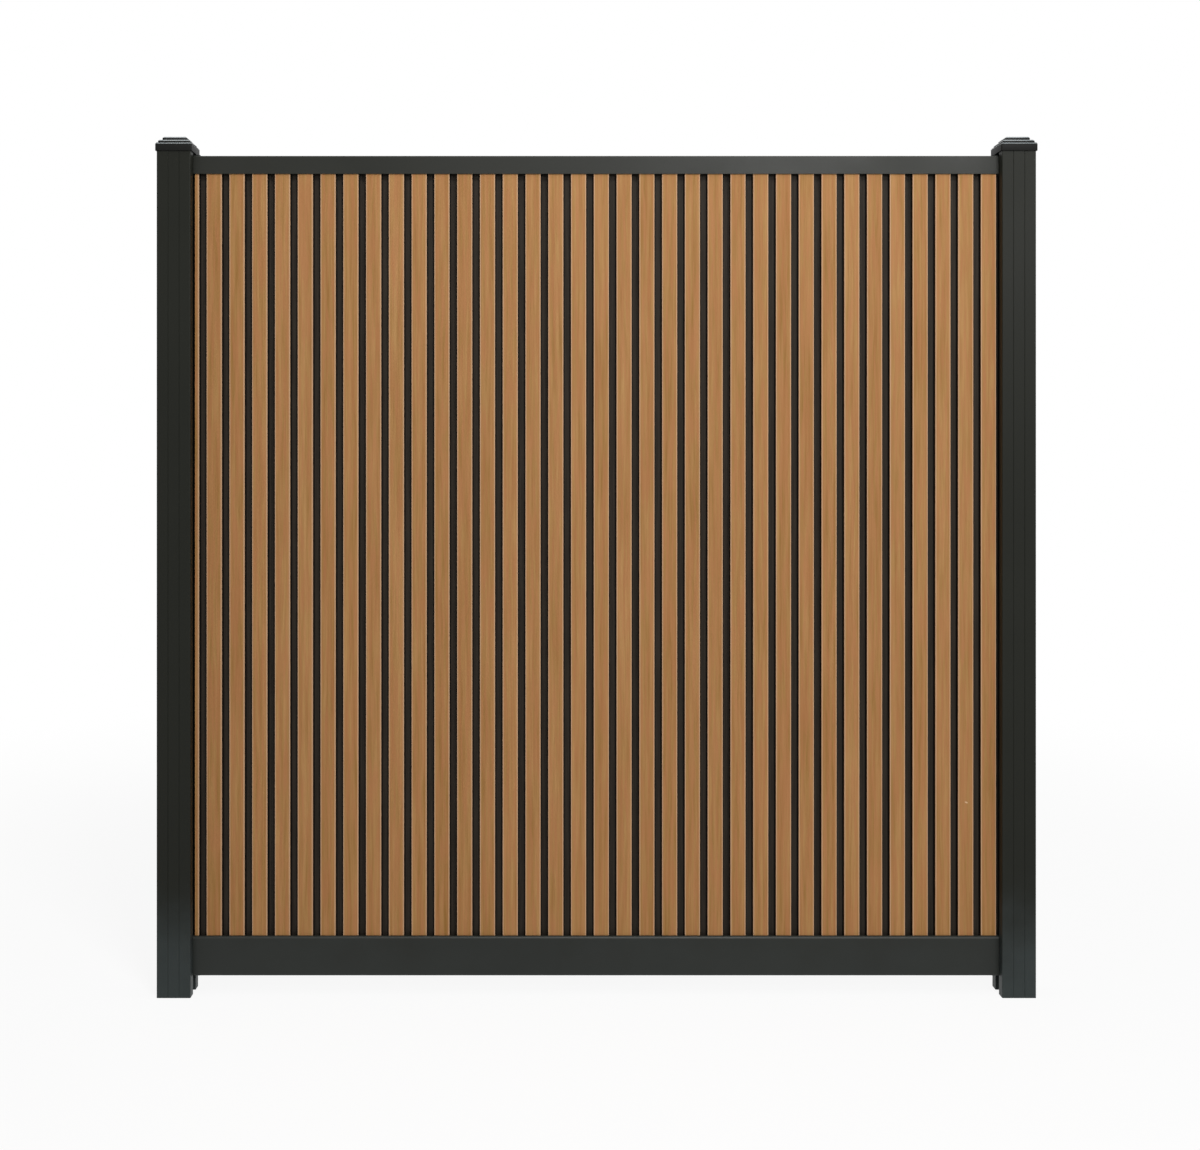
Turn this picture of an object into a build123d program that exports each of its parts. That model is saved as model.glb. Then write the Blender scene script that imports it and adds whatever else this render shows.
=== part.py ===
"""Fence bay: slatted composite boards and aluminium rails between two slotted aluminium posts.

The bay stands on the ground at Z = 0, centred on X = 0 and Y = 0, with its slatted front towards -Y.
"""
import math
import os

from build123d import *

# Driving dimensions, in millimetres

# Composite boards: slats raised from a web, one tongue-and-groove joint in every fourth groove
BOARD_COUNT = 9
SLATS_PER_BOARD = 4
SLAT_PITCH = 50.8
SLAT_WIDTH = 33.8
SLAT_RISE = 11.0
SLAT_DRAFT = 0.6
SLAT_EDGE_RADIUS = 1.2
BOARD_THICKNESS = 20.0
CELL_SIDE_WALL = 5.5
CELL_FACE_WALL = 4.5
CELL_CORNER_CHAMFER = 2.0
LIP_WIDTH = 4.9
SHOULDER_WIDTH = 7.1
TONGUE_THICKNESS = 4.0
TONGUE_REACH = 6.0
TONGUE_CLEARANCE = 0.3
GROOVE_END_CLEARANCE = 1.0
FIRST_BOARD_RIP = 5.2
FIRST_SLAT_TO_POST = 3.7
LAST_SLAT_TO_POST = 5.3

# Heights above the ground
GROUND_GAP = 42.5
PANEL_HEIGHT = 1825.0
CAP_REVEAL = 7.0

# Slotted posts, one slot in each face
POST_SIZE = 75.0
POST_WALL = 2.0
POST_CORNER_RADIUS = 2.0
SLOT_WIDTH = 25.0
SLOT_LIP_RADIUS = 0.6
SLOT_END_CLEARANCE = 1.8

# Infill strips that close the slots with no board in them
STRIP_FACE = 1.8
STRIP_SIDE_CLEARANCE = 0.25
STRIP_EDGE_CHAMFER = 0.5
STRIP_LEG = 1.5
STRIP_LEG_DEPTH = 10.0
STRIP_BEAD_LENGTH = 1.6

# Post caps
CAP_OVERHANG = 3.0
CAP_CLEARANCE = 0.4
CAP_SKIRT_HEIGHT = 18.0
CAP_PLATE = 3.0
CAP_STEP_INSETS = (5.5, 13.5)
CAP_STEP_HEIGHTS = (7.0, 8.0)
CAP_EDGE_CHAMFER = 2.8
CAP_CORNER_RADIUS = 3.5
CAP_POCKET_WALL = 3.0

# Rails
CHANNEL_CLEARANCE = 0.3
RAIL_END_GAP = 0.5
TOP_RAIL_HEIGHT = 40.0
TOP_RAIL_WALL = 2.5
TOP_RAIL_EDGE_RADIUS = 2.0
BOTTOM_RAIL_HEIGHT = 87.0
BOTTOM_RAIL_THICKNESS = 35.0
BOTTOM_RAIL_WALL = 1.8
BOTTOM_RAIL_SHOULDER_RADIUS = 6.5
BOTTOM_RAIL_FOOT_CHAMFER = 1.6
BOTTOM_RAIL_CHANNEL_DEPTH = 30.0

# Angle brackets in the inner slots and their screws
BRACKET_WIDTH = 20.0
BRACKET_THICKNESS = 2.5
BRACKET_RISE = 15.0
BRACKET_SEAT = 14.0
SCREW_SHANK_RADIUS = 2.1
SCREW_LENGTH = 13.0
SCREW_HEAD_RADIUS = 4.0
SCREW_HEAD_HEIGHT = 2.4
SCREW_HEAD_CHAMFER = 1.1
SCREW_HOLE_CLEARANCE = 0.15

# Sizes that follow from them

# Across one board, from its uncut left edge
board_cover = SLATS_PER_BOARD * SLAT_PITCH
last_slat_end = LIP_WIDTH + (SLATS_PER_BOARD - 1) * SLAT_PITCH + SLAT_WIDTH
web_width = last_slat_end + SHOULDER_WIDTH
joint_gap = board_cover - web_width
tongue_length = joint_gap + TONGUE_REACH
groove_depth = TONGUE_REACH + GROOVE_END_CLEARANCE
groove_height = TONGUE_THICKNESS + 2 * TONGUE_CLEARANCE

# Through the board, from its slatted face to its flat back
front_y = -BOARD_THICKNESS / 2
floor_y = front_y + SLAT_RISE
back_y = BOARD_THICKNESS / 2
web_thickness = back_y - floor_y
tongue_y = (floor_y + back_y) / 2

# Post section
slot_depth = (POST_SIZE - SLOT_WIDTH) / 2 - POST_WALL
slot_floor = POST_SIZE / 2 - slot_depth
corner_cell = (POST_SIZE - SLOT_WIDTH) / 2 - 2 * POST_WALL
corner_cell_pitch = (POST_SIZE + SLOT_WIDTH) / 2
core_cell = SLOT_WIDTH

# Along the bay, counted from the first board's uncut left edge
left_mouth = FIRST_BOARD_RIP - SLOT_END_CLEARANCE + slot_depth
first_slat_start = left_mouth + FIRST_SLAT_TO_POST
right_mouth = (BOARD_COUNT - 1) * board_cover + last_slat_end + LAST_SLAT_TO_POST
opening_width = right_mouth - left_mouth
boards_start = -(left_mouth + right_mouth) / 2
post_x = (opening_width + POST_SIZE) / 2
rail_length = opening_width - 2 * RAIL_END_GAP

# Up the bay
rail_top = GROUND_GAP + PANEL_HEIGHT
board_bottom = GROUND_GAP + BOTTOM_RAIL_HEIGHT - BOTTOM_RAIL_CHANNEL_DEPTH
board_top = rail_top - TOP_RAIL_WALL
cap_bottom = rail_top + CAP_REVEAL
cap_deck = cap_bottom + CAP_SKIRT_HEIGHT
post_height = cap_deck - CAP_PLATE
channel_width = BOARD_THICKNESS + 2 * CHANNEL_CLEARANCE

# Infill strips and caps
strip_width = SLOT_WIDTH - 2 * STRIP_SIDE_CLEARANCE
cap_size = POST_SIZE + 2 * CAP_OVERHANG
cap_mouth = POST_SIZE + 2 * CAP_CLEARANCE
cap_pocket = cap_size - 2 * (CAP_STEP_INSETS[-1] + CAP_POCKET_WALL)

# Brackets: the leg that is screwed in the slot, and the shelf that reaches over or under a rail's end
bracket_reach = slot_depth + RAIL_END_GAP + BRACKET_SEAT
bracket_screw_rise = (BRACKET_RISE + BRACKET_THICKNESS) / 2
bracket_hole_radius = SCREW_SHANK_RADIUS + SCREW_HOLE_CLEARANCE
SIDES = {"left": -1, "right": 1}
BRACKET_LEVELS = {"bottom": (GROUND_GAP, -1), "top": (rail_top, 1)}

os.makedirs("parts", exist_ok=True)


def is_slot_mouth(vertex):
    """Tell whether a corner of the post's section is where a slot meets an outer face."""
    across, out = sorted((abs(vertex.X), abs(vertex.Y)))
    return math.isclose(across, SLOT_WIDTH / 2) and math.isclose(out, POST_SIZE / 2)


# Posts: a square extrusion with four hollow corners, a hollow core and a slot in each face
for side, sign in SIDES.items():
    with BuildPart() as post:
        with BuildSketch() as post_section:
            RectangleRounded(POST_SIZE, POST_SIZE, POST_CORNER_RADIUS)
            with PolarLocations(POST_SIZE / 2 - slot_depth / 2, 4):
                Rectangle(slot_depth, SLOT_WIDTH, mode=Mode.SUBTRACT)
            fillet(post_section.vertices().filter_by(is_slot_mouth), SLOT_LIP_RADIUS)
            with GridLocations(corner_cell_pitch, corner_cell_pitch, 2, 2):
                Rectangle(corner_cell, corner_cell, mode=Mode.SUBTRACT)
            Rectangle(core_cell, core_cell, mode=Mode.SUBTRACT)
        extrude(amount=post_height)
        for level, up in BRACKET_LEVELS.values():
            with Locations((-sign * (slot_floor - POST_WALL / 2), 0, level + up * bracket_screw_rise)):
                Cylinder(bracket_hole_radius, 2 * POST_WALL, rotation=(0, 90, 0), mode=Mode.SUBTRACT)
    post.part.position = (sign * post_x, 0, 0)
    post.part.label = f"{side}_post"
    export_step(post.part, f"parts/{side}_post.step")

# Infill strips: a flush face on two sprung legs, each with a bead that grips the wall of its slot
for side, sign in SIDES.items():
    for face, turn in {"front": 180, "back": 0, "outer": -90 * sign}.items():
        with BuildPart() as strip:
            with BuildSketch(Plane((sign * post_x, 0, 0)).rotated((0, 0, turn))) as strip_section:
                with Locations((0, POST_SIZE / 2)):
                    Rectangle(strip_width, STRIP_FACE, align=(Align.CENTER, Align.MAX))
                chamfer(strip_section.vertices().group_by(Axis.Y)[-1], STRIP_EDGE_CHAMFER)
                for edge in (-1, 1):
                    with Locations((edge * (strip_width - STRIP_LEG) / 2, POST_SIZE / 2 - STRIP_FACE)):
                        Rectangle(STRIP_LEG, STRIP_LEG_DEPTH, align=(Align.CENTER, Align.MAX))
                    with Locations((edge * (SLOT_WIDTH - STRIP_LEG) / 2,
                                    POST_SIZE / 2 - STRIP_FACE - STRIP_LEG_DEPTH)):
                        Rectangle(STRIP_LEG, STRIP_BEAD_LENGTH, align=(Align.CENTER, Align.MIN))
            extrude(amount=post_height)
        strip.part.label = f"{side}_post_{face}_strip"
        export_step(strip.part, f"parts/{side}_post_{face}_strip.step")

# Post caps: a skirt over the post's end, a deck on the end and two stepped tiers, hollow underneath
for side, sign in SIDES.items():
    with BuildPart() as cap:
        with BuildSketch(Plane((sign * post_x, 0, cap_bottom))):
            RectangleRounded(cap_size, cap_size, CAP_CORNER_RADIUS)
        extrude(amount=CAP_SKIRT_HEIGHT)
        chamfer(cap.faces().sort_by(Axis.Z)[-1].edges(), CAP_EDGE_CHAMFER)
        tier_bottom = cap_deck
        for inset, height in zip(CAP_STEP_INSETS, CAP_STEP_HEIGHTS):
            with BuildSketch(Plane((sign * post_x, 0, tier_bottom))):
                Rectangle(cap_size - 2 * inset, cap_size - 2 * inset)
            extrude(amount=height)
            chamfer(cap.faces().sort_by(Axis.Z)[-1].edges(), CAP_EDGE_CHAMFER)
            tier_bottom += height
        with BuildSketch(Plane((sign * post_x, 0, cap_bottom))):
            Rectangle(cap_mouth, cap_mouth)
        extrude(amount=CAP_SKIRT_HEIGHT - CAP_PLATE, mode=Mode.SUBTRACT)
        with BuildSketch(Plane((sign * post_x, 0, post_height))):
            Rectangle(cap_pocket, cap_pocket)
        extrude(amount=tier_bottom - CAP_POCKET_WALL - post_height, mode=Mode.SUBTRACT)
    cap.part.label = f"{side}_post_cap"
    export_step(cap.part, f"parts/{side}_post_cap.step")

# Bottom rail: a hollow extrusion with rounded shoulders and a channel on top that carries the boards
with BuildPart() as bottom_rail:
    with BuildSketch(Plane.YZ.offset(-rail_length / 2)) as bottom_section:
        with Locations((0, GROUND_GAP)):
            Rectangle(BOTTOM_RAIL_THICKNESS, BOTTOM_RAIL_HEIGHT, align=(Align.CENTER, Align.MIN))
        chamfer(bottom_section.vertices().group_by(Axis.Y)[0], BOTTOM_RAIL_FOOT_CHAMFER)
        fillet(bottom_section.vertices().group_by(Axis.Y)[-1], BOTTOM_RAIL_SHOULDER_RADIUS)
        with Locations((0, board_bottom)):
            Rectangle(channel_width, BOTTOM_RAIL_HEIGHT, align=(Align.CENTER, Align.MIN), mode=Mode.SUBTRACT)
        offset(amount=-BOTTOM_RAIL_WALL, kind=Kind.INTERSECTION, mode=Mode.SUBTRACT)
    extrude(amount=rail_length)
bottom_rail.part.label = "bottom_rail"
export_step(bottom_rail.part, "parts/bottom_rail.step")

# Top rail: a channel turned over, resting on the boards' upper ends
with BuildPart() as top_rail:
    with BuildSketch(Plane.YZ.offset(-rail_length / 2)) as top_section:
        with Locations((0, rail_top)):
            Rectangle(channel_width + 2 * TOP_RAIL_WALL, TOP_RAIL_HEIGHT, align=(Align.CENTER, Align.MAX))
        fillet(top_section.vertices().group_by(Axis.Y)[-1], TOP_RAIL_EDGE_RADIUS)
        with Locations((0, board_top)):
            Rectangle(channel_width, TOP_RAIL_HEIGHT, align=(Align.CENTER, Align.MAX), mode=Mode.SUBTRACT)
    extrude(amount=rail_length)
top_rail.part.label = "top_rail"
export_step(top_rail.part, "parts/top_rail.step")

# Boards: slats with hollow cells on a web, a tongue on the right edge and a groove in the left one. The first
# board is ripped, and its first slat is cut back to its web where it enters the post's slot.
slat_side_angle = math.degrees(math.atan2(SLAT_RISE, SLAT_DRAFT))
slat_centres = [LIP_WIDTH + SLAT_WIDTH / 2 + n * SLAT_PITCH for n in range(SLATS_PER_BOARD)]
with BuildSketch() as cell:
    Rectangle(SLAT_WIDTH - 2 * CELL_SIDE_WALL, BOARD_THICKNESS - 2 * CELL_FACE_WALL)
    chamfer(cell.vertices(), CELL_CORNER_CHAMFER)
for number in range(BOARD_COUNT):
    board_x = boards_start + number * board_cover
    with BuildPart() as board:
        with BuildSketch(Plane((board_x, 0, board_bottom))) as board_section:
            with Locations((0, floor_y)):
                Rectangle(web_width, web_thickness, align=(Align.MIN, Align.MIN))
            with Locations(*[(x, front_y + SLAT_RISE / 2) for x in slat_centres]):
                Trapezoid(SLAT_WIDTH + 2 * SLAT_DRAFT, SLAT_RISE, slat_side_angle, rotation=180)
            fillet(board_section.vertices().group_by(Axis.Y)[0], SLAT_EDGE_RADIUS)
            with Locations((web_width, tongue_y)):
                Rectangle(tongue_length, TONGUE_THICKNESS, align=(Align.MIN, Align.CENTER))
            with Locations((0, tongue_y)):
                Rectangle(groove_depth, groove_height, align=(Align.MIN, Align.CENTER), mode=Mode.SUBTRACT)
            with Locations(*[(x, 0) for x in slat_centres]):
                add(cell.sketch, mode=Mode.SUBTRACT)
            if number == 0:
                Rectangle(FIRST_BOARD_RIP, BOARD_THICKNESS, align=(Align.MIN, Align.CENTER),
                          mode=Mode.SUBTRACT)
                with Locations((0, front_y)):
                    Rectangle(first_slat_start, SLAT_RISE, align=(Align.MIN, Align.MIN), mode=Mode.SUBTRACT)
        extrude(amount=board_top - board_bottom)
    board.part.label = f"board_{number + 1}"
    export_step(board.part, f"parts/board_{number + 1}.step")

# Brackets: angles screwed in the posts' inner slots, under the bottom rail and over the top rail
for side, sign in SIDES.items():
    for place, (level, up) in BRACKET_LEVELS.items():
        heel_x = sign * (post_x - slot_floor)
        screw_z = level + up * bracket_screw_rise
        with BuildPart() as bracket:
            with BuildSketch(Plane.XZ):
                with Locations((heel_x, level)):
                    Rectangle(bracket_reach, BRACKET_THICKNESS, align=(
                        Align.MAX if sign > 0 else Align.MIN, Align.MIN if up > 0 else Align.MAX))
                    Rectangle(BRACKET_THICKNESS, BRACKET_RISE, align=(
                        Align.MAX if sign > 0 else Align.MIN, Align.MIN if up > 0 else Align.MAX))
            extrude(amount=BRACKET_WIDTH / 2, both=True)
            with Locations((heel_x, 0, screw_z)):
                Cylinder(bracket_hole_radius, 4 * BRACKET_THICKNESS, rotation=(0, 90, 0), mode=Mode.SUBTRACT)
        bracket.part.label = f"{side}_{place}_bracket"
        export_step(bracket.part, f"parts/{side}_{place}_bracket.step")

# Bracket screws: pan-head screws through each bracket's leg and the floor of its slot
with BuildPart() as bracket_screws:
    for sign in SIDES.values():
        for level, up in BRACKET_LEVELS.values():
            seat_x = sign * (post_x - slot_floor - BRACKET_THICKNESS)
            axis_plane = Plane((seat_x, 0, level + up * bracket_screw_rise), z_dir=(sign, 0, 0))
            with BuildSketch(axis_plane):
                Circle(SCREW_SHANK_RADIUS)
            extrude(amount=SCREW_LENGTH)
            with BuildSketch(axis_plane):
                Circle(SCREW_HEAD_RADIUS)
            extrude(amount=-SCREW_HEAD_HEIGHT)
    head_rims = bracket_screws.edges().filter_by(GeomType.CIRCLE).group_by(SortBy.RADIUS)[-1]
    rims_by_reach = head_rims.sort_by(lambda rim: abs(rim.center().X))
    chamfer(rims_by_reach[:len(head_rims) // 2], SCREW_HEAD_CHAMFER)
bracket_screws.part.label = "bracket_screws"
export_step(bracket_screws.part, "parts/bracket_screws.step")
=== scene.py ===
"""Looks of a composite fence bay: grained slatted boards in an anthracite powder-coated aluminium frame.

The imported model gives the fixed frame, in metres, with +Z up and the slatted front towards -Y. The post caps and
the bracket screws are modelled here in finer detail; every other piece keeps its solid and gets its finish here.
"""
import logging
import math
from dataclasses import dataclass, field
from enum import Enum
from typing import Callable, Iterable, Optional, Union

import bmesh
import bpy
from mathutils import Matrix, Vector


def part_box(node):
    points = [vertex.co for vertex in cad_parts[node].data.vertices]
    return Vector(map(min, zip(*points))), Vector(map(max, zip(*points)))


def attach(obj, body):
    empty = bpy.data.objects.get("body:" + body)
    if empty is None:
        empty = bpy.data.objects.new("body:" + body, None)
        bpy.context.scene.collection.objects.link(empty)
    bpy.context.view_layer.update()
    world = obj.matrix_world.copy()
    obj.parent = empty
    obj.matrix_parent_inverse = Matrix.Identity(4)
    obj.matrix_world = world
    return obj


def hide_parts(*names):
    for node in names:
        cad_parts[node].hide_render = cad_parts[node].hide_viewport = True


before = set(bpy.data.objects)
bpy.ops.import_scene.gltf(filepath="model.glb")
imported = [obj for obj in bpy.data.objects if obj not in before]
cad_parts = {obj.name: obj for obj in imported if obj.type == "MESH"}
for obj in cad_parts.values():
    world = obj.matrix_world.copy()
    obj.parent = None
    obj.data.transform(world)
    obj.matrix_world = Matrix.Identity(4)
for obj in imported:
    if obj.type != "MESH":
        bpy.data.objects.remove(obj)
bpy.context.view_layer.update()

LOG = logging.getLogger("fence_bay")
BODY = "root"

# Places nearer to each other than this are the same
SAME_PLACE = 1e-5

# A face lies flat where its normal's Z is more than this
FLAT = 0.9

# Values between which most of a noise lies
NOISE_LOW = 0.3
NOISE_HIGH = 0.7

# Places of a Mix node's colour sockets, which share their names with its other sockets
MIX_FACTOR = 0
MIX_FIRST = 6
MIX_SECOND = 7
MIX_RESULT = 2

Node = bpy.types.Node
Socket = bpy.types.NodeSocket
Colour = tuple[float, float, float, float]
Triple = tuple[float, float, float]
Source = Union[Socket, float, Colour]
Inputs = dict[Union[str, int], Source]

WHITE: Colour = (1.0, 1.0, 1.0, 1.0)


class Choice(Enum):
    """Option whose name stands in the names of nodes and pieces."""

    @property
    def word(self) -> str:
        """The option as it stands in those names."""
        return self.name.lower()


class Side(Choice):
    """End of the bay, with the sign of its X."""

    LEFT = -1
    RIGHT = 1


class Level(Choice):
    """Rail that a bracket holds, with the sign of its place along Z."""

    BOTTOM = -1
    TOP = 1


class Element(Enum):
    """Part of a mesh that can be picked, with the name of its list in bmesh."""

    EDGE = "edges"
    FACE = "faces"


class Operation(Enum):
    """Arithmetic used by the finishes, with Blender's own names."""

    ADD = "ADD"
    SUBTRACT = "SUBTRACT"
    MULTIPLY = "MULTIPLY"
    DIVIDE = "DIVIDE"
    MULTIPLY_ADD = "MULTIPLY_ADD"
    FLOOR = "FLOOR"
    MINIMUM = "MINIMUM"
    MAXIMUM = "MAXIMUM"
    ABSOLUTE = "ABSOLUTE"
    LESS_THAN = "LESS_THAN"


@dataclass
class Surface:
    """A material's or a group's node tree, with short methods that add and link nodes."""

    tree: bpy.types.NodeTree

    def add(self, kind: str, inputs: Optional[Inputs] = None, **values: object) -> Node:
        """Add a node, set its properties and feed its inputs.

        Args:
            kind: Blender's name of the node type.
            inputs: What feeds its inputs.
            **values: Properties of the node itself, such as operation or data_type.

        Returns:
            The new node.
        """
        node = self.tree.nodes.new(kind)
        for name, value in values.items():
            setattr(node, name, value)
        self.feed(node, inputs or {})
        return node

    def feed(self, node: Node, inputs: Inputs) -> None:
        """Link sockets to a node's inputs, or write constants on them.

        Args:
            node: The node that takes the values.
            inputs: Another node's output or a constant for each input, by the input's name or place.
        """
        for socket, source in inputs.items():
            if isinstance(source, Socket):
                self.tree.links.new(source, node.inputs[socket])
            else:
                node.inputs[socket].default_value = source

    def find(self, kind: str) -> Node:
        """Give the tree's first node of a type."""
        return next(node for node in self.tree.nodes if node.type == kind)

    def math(self, operation: Operation, *values: Source) -> Socket:
        """Work out a value from as many others as the operation takes."""
        return self.add("ShaderNodeMath", dict(enumerate(values)), operation=operation.value).outputs[0]

    def weigh(self, *parts: tuple[Source, float]) -> Socket:
        """Add values up, each with its weight.

        Args:
            *parts: Pairs of a value and its weight.

        Returns:
            The sum's socket.
        """
        total: Source = 0.0
        for value, weight in parts:
            total = self.math(Operation.MULTIPLY_ADD, value, weight, total)
        return total

    def ramp(self, value: Source, low: float, high: float, start: float = 0.0, end: float = 1.0) -> Socket:
        """Turn a value into a smooth step from start to end, which runs from its low to its high value."""
        inputs = {"Value": value, "From Min": low, "From Max": high, "To Min": start, "To Max": end}
        return self.add("ShaderNodeMapRange", inputs, interpolation_type="SMOOTHSTEP").outputs["Result"]

    def spread(self, noise: Socket, start: float = 0.0, end: float = 1.0) -> Socket:
        """Stretch a noise around 0.5 over the whole range from start to end."""
        return self.ramp(noise, NOISE_LOW, NOISE_HIGH, start, end)

    def mix(self, factor: Source, first: Source, second: Source) -> Socket:
        """Mix two colours, with the factor as the second one's share."""
        inputs = {MIX_FACTOR: factor, MIX_FIRST: first, MIX_SECOND: second}
        return self.add("ShaderNodeMix", inputs, data_type="RGBA").outputs[MIX_RESULT]

    def noise(self, vector: Socket, scale: Source = 1.0, detail: float = 2.0, roughness: float = 0.5) -> Socket:
        """Sample smooth noise around 0.5, with its scale, its number of finer layers and their weight."""
        inputs = {"Vector": vector, "Scale": scale, "Detail": detail, "Roughness": roughness}
        return self.add("ShaderNodeTexNoise", inputs).outputs["Fac"]

    def combine(self, x: Source, y: Source, z: Source) -> Socket:
        """Make a vector of three values."""
        return self.add("ShaderNodeCombineXYZ", {0: x, 1: y, 2: z}).outputs[0]

    def split(self, vector: Socket) -> list[Socket]:
        """Give a vector's X, Y and Z."""
        return list(self.add("ShaderNodeSeparateXYZ", {0: vector}).outputs)

    def place(self) -> Socket:
        """Give the place on the object, in metres in the row frame."""
        return self.add("ShaderNodeTexCoord").outputs["Object"]

    def effect(self, group: bpy.types.NodeTree, **sources: Source) -> Node:
        """Place a shared effect's group, with what feeds its inputs by their names."""
        return self.add("ShaderNodeGroup", sources, node_tree=group)

    def bump(self, height: Socket, strength: float, distance: float) -> Socket:
        """Turn a relief from 0 to 1, of a depth in metres, into a normal."""
        inputs = {"Height": height, "Strength": strength, "Distance": distance}
        return self.add("ShaderNodeBump", inputs).outputs["Normal"]


def shared_effect(name: str, inputs: Iterable[str], outputs: Iterable[str],
                  build: Callable[[Surface, Node, Node], None]) -> bpy.types.NodeTree:
    """Make a shader node group once, and give the same one from then on.

    Args:
        name: Name of the group.
        inputs: Names of the values that it takes, besides a place, its Vector.
        outputs: Names of the values that it puts out.
        build: Function that fills the group, given its surface, input node and output node.

    Returns:
        The node group.
    """
    if name in bpy.data.node_groups:
        return bpy.data.node_groups[name]
    group = bpy.data.node_groups.new(name, "ShaderNodeTree")
    group.interface.new_socket("Vector", in_out="INPUT", socket_type="NodeSocketVector")
    for way, sockets in (("INPUT", inputs), ("OUTPUT", outputs)):
        for socket in sockets:
            group.interface.new_socket(socket, in_out=way, socket_type="NodeSocketFloat")
    surface = Surface(group)
    build(surface, surface.add("NodeGroupInput"), surface.add("NodeGroupOutput"))
    return group


@dataclass(frozen=True)
class StreakLayer:
    """One layer of streaks, with its number of features to a streak's width and length."""

    name: str
    across: float
    along: float
    detail: float


@dataclass(frozen=True)
class DrawnStreaks:
    """Streaks drawn out along Z: wood grain on the boards, draw lines on bare metal."""

    layers: tuple[StreakLayer, ...] = (
        StreakLayer("Bands", across=0.35, along=0.45, detail=1.0),
        StreakLayer("Streaks", across=1.0, along=1.0, detail=2.0),
        StreakLayer("Lines", across=5.0, along=2.2, detail=3.0),
        StreakLayer("Pores", across=9.0, along=7.0, detail=1.0))
    wander: float = 1.6
    wander_width: float = 0.12
    wander_detail: float = 1.0

    def group(self) -> bpy.types.NodeTree:
        """Give the effect's group, which puts out one value around 0.5 for each layer."""
        outputs = [layer.name for layer in self.layers]
        return shared_effect("drawn_streaks", ("Seed", "Width", "Length"), outputs, self._build)

    def _build(self, surface: Surface, given: Node, result: Node) -> None:
        """Fill the group with layers of stretched noise that wander a little from side to side.

        Args:
            surface: Where the nodes go.
            given: The group's input node.
            result: The group's output node.
        """
        x, y, z = surface.split(given.outputs["Vector"])
        seed = given.outputs["Seed"]
        lateral = surface.math(Operation.DIVIDE, surface.math(Operation.ADD, x, y), given.outputs["Width"])
        lengthwise = surface.math(Operation.DIVIDE, z, given.outputs["Length"])
        slow = surface.combine(surface.math(Operation.MULTIPLY, lateral, self.wander_width), seed, lengthwise)
        sway = surface.noise(slow, detail=self.wander_detail)
        bent = surface.math(Operation.MULTIPLY_ADD, sway, self.wander, lateral)
        for layer in self.layers:
            place = surface.combine(surface.math(Operation.MULTIPLY, bent, layer.across), seed,
                                    surface.math(Operation.MULTIPLY, lengthwise, layer.along))
            surface.feed(result, {layer.name: surface.noise(place, detail=layer.detail)})


@dataclass(frozen=True)
class PowderStipple:
    """Fine stipple and slow drift of tone of a sprayed and baked powder coat."""

    detail: float = 2.0
    roughness: float = 0.6

    def group(self) -> bpy.types.NodeTree:
        """Give the effect's group, which puts out the stipple's height and the drift, each around 0.5."""
        return shared_effect("powder_stipple", ("Grain", "Scale"), ("Height", "Drift"), self._build)

    def _build(self, surface: Surface, given: Node, result: Node) -> None:
        """Fill the group with a stipple over a slow drift.

        Args:
            surface: Where the nodes go.
            given: The group's input node.
            result: The group's output node.
        """
        place = given.outputs["Vector"]
        fine = surface.math(Operation.DIVIDE, 1.0, given.outputs["Grain"])
        surface.feed(result, {"Height": surface.noise(place, fine, self.detail, self.roughness),
                              "Drift": surface.noise(place, given.outputs["Scale"])})


@dataclass(frozen=True)
class RainSplash:
    """Painted reflection of the pale floor: a pale film that grows towards the ground, with an uneven upper edge.
    """

    clouds: float = 4.0
    cloud_detail: float = 3.0
    cloud_share: float = 0.6
    fade: tuple[float, float] = (0.3, 1.3)

    def group(self) -> bpy.types.NodeTree:
        """Give the effect's group, which puts out the painted reflection's cover, from 1 at the ground to 0 at its
        reach.
        """
        return shared_effect("rain_splash", ("Reach",), ("Film",), self._build)

    def _build(self, surface: Surface, given: Node, result: Node) -> None:
        """Fill the group with a fade in height, made uneven by clouds.

        Args:
            surface: Where the nodes go.
            given: The group's input node.
            result: The group's output node.
        """
        place, reach = given.outputs["Vector"], given.outputs["Reach"]
        rise = surface.math(Operation.DIVIDE, surface.split(place)[2], reach)
        cloud = surface.noise(place, surface.math(Operation.DIVIDE, self.clouds, reach), self.cloud_detail)
        uneven = surface.weigh((rise, 1.0), (cloud, self.cloud_share))
        surface.feed(result, {"Film": surface.ramp(uneven, *self.fade, 1.0, 0.0)})


def new_material(name: str) -> tuple[bpy.types.Material, Surface, Node]:
    """Start a material with one Principled BSDF.

    Args:
        name: The material's name.

    Returns:
        The material, its surface and its Principled BSDF.
    """
    material = bpy.data.materials.new(name)
    material.use_nodes = True
    surface = Surface(material.node_tree)
    return material, surface, surface.find("BSDF_PRINCIPLED")


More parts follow.
